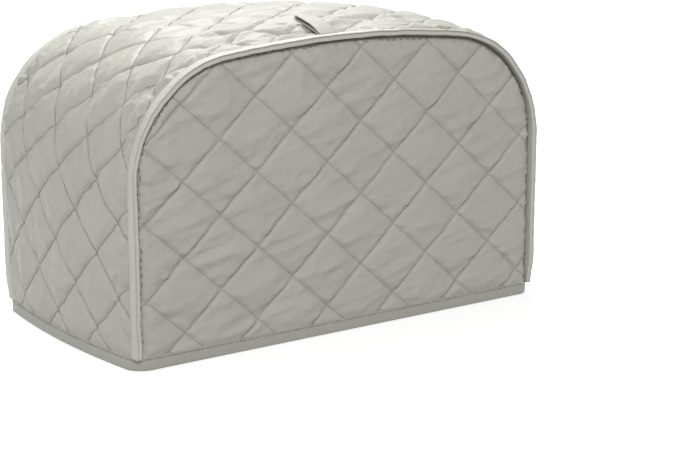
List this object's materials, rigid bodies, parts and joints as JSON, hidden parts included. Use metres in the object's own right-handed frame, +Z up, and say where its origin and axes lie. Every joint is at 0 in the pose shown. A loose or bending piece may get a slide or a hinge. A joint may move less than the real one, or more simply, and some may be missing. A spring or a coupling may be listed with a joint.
{
  "type": "toaster cover",
  "caption": "Quilted fabric cover for a two-slice toaster: two arched end panels and a long gusset joined by bound seams, with an open bottom, a plain hem band and a small strap loop on top.",
  "frame": {"origin": "centre of the open bottom, in the plane that the hem stands on", "axes": "+X along the long front panel, towards its right-hand seam; -Y towards the front panel, the one beside the strap loop; +Z up"},
  "size_m": [0.3212, 0.1744, 0.1989],
  "materials": {
    "quilted_cloth": "pale grey satin-faced polyester, diamond quilted over thin wadding, soft sheen",
    "binding_tape": "pale grey polyester tape, folded and stitched, soft sheen"
  },
  "bodies": {
    "root": {"front_panel": "quilted_cloth", "back_panel": "quilted_cloth", "gusset": "quilted_cloth", "front_binding": "binding_tape", "back_binding": "binding_tape", "hem_band": "binding_tape", "strap_loop": "binding_tape"}
  },
  "joints": []
}
